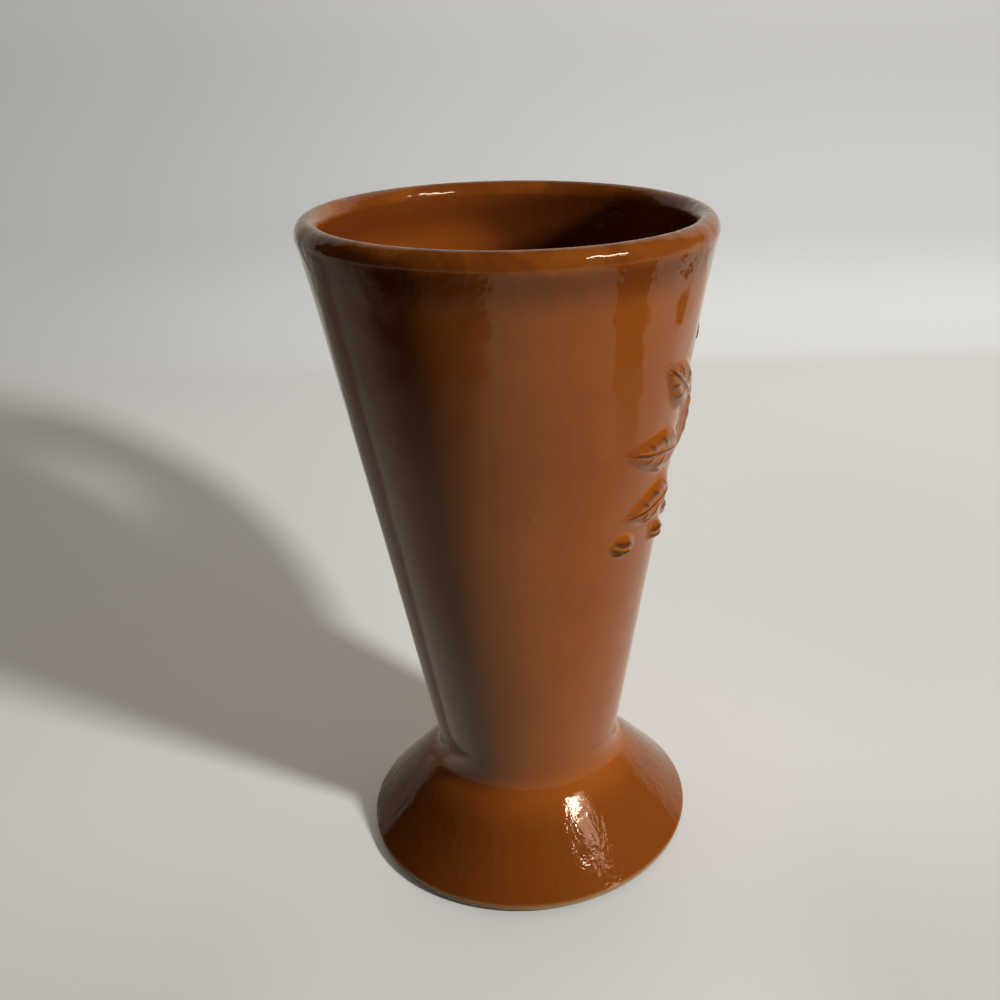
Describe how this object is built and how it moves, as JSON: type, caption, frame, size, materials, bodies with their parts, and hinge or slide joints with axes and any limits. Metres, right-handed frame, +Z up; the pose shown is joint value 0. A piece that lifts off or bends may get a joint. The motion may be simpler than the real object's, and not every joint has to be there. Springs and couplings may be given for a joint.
{
  "type": "footed mug",
  "caption": "Tall cone-shaped ceramic mug with a rolled lip, a flared, hollow pedestal foot, an ear handle and raised cocoa decoration on one side.",
  "frame": {"origin": "middle of the mug's bounding box, on the surface that the foot stands on; the cup's own axis is at y = -0.01745", "axes": "+Z up along the cup's axis; +Y out through the handle; +X out through the raised decoration; -Y is the plain front"},
  "size_m": [0.0854, 0.1204, 0.15],
  "materials": {
    "brown_glaze": "gloss",
    "brown_glaze_slip": "gloss",
    "brown_glaze_relief": "gloss"
  },
  "bodies": {
    "root": {"cup_body": "brown_glaze", "pedestal_foot": "brown_glaze", "handle": "brown_glaze", "waist_collar": "brown_glaze_slip", "handle_top_slip": "brown_glaze_slip", "handle_bottom_slip": "brown_glaze_slip", "pod_relief": "brown_glaze_relief", "stalk_relief": "brown_glaze_relief", "leaf_relief_left_upper": "brown_glaze_relief", "leaf_relief_left_middle": "brown_glaze_relief", "leaf_relief_left_lower": "brown_glaze_relief", "leaf_relief_right_upper": "brown_glaze_relief", "leaf_relief_right_middle": "brown_glaze_relief", "leaf_relief_right_lower": "brown_glaze_relief", "bean_relief_1": "brown_glaze_relief", "bean_relief_2": "brown_glaze_relief", "bean_relief_3": "brown_glaze_relief", "bean_relief_4": "brown_glaze_relief", "bean_relief_5": "brown_glaze_relief"}
  },
  "joints": []
}
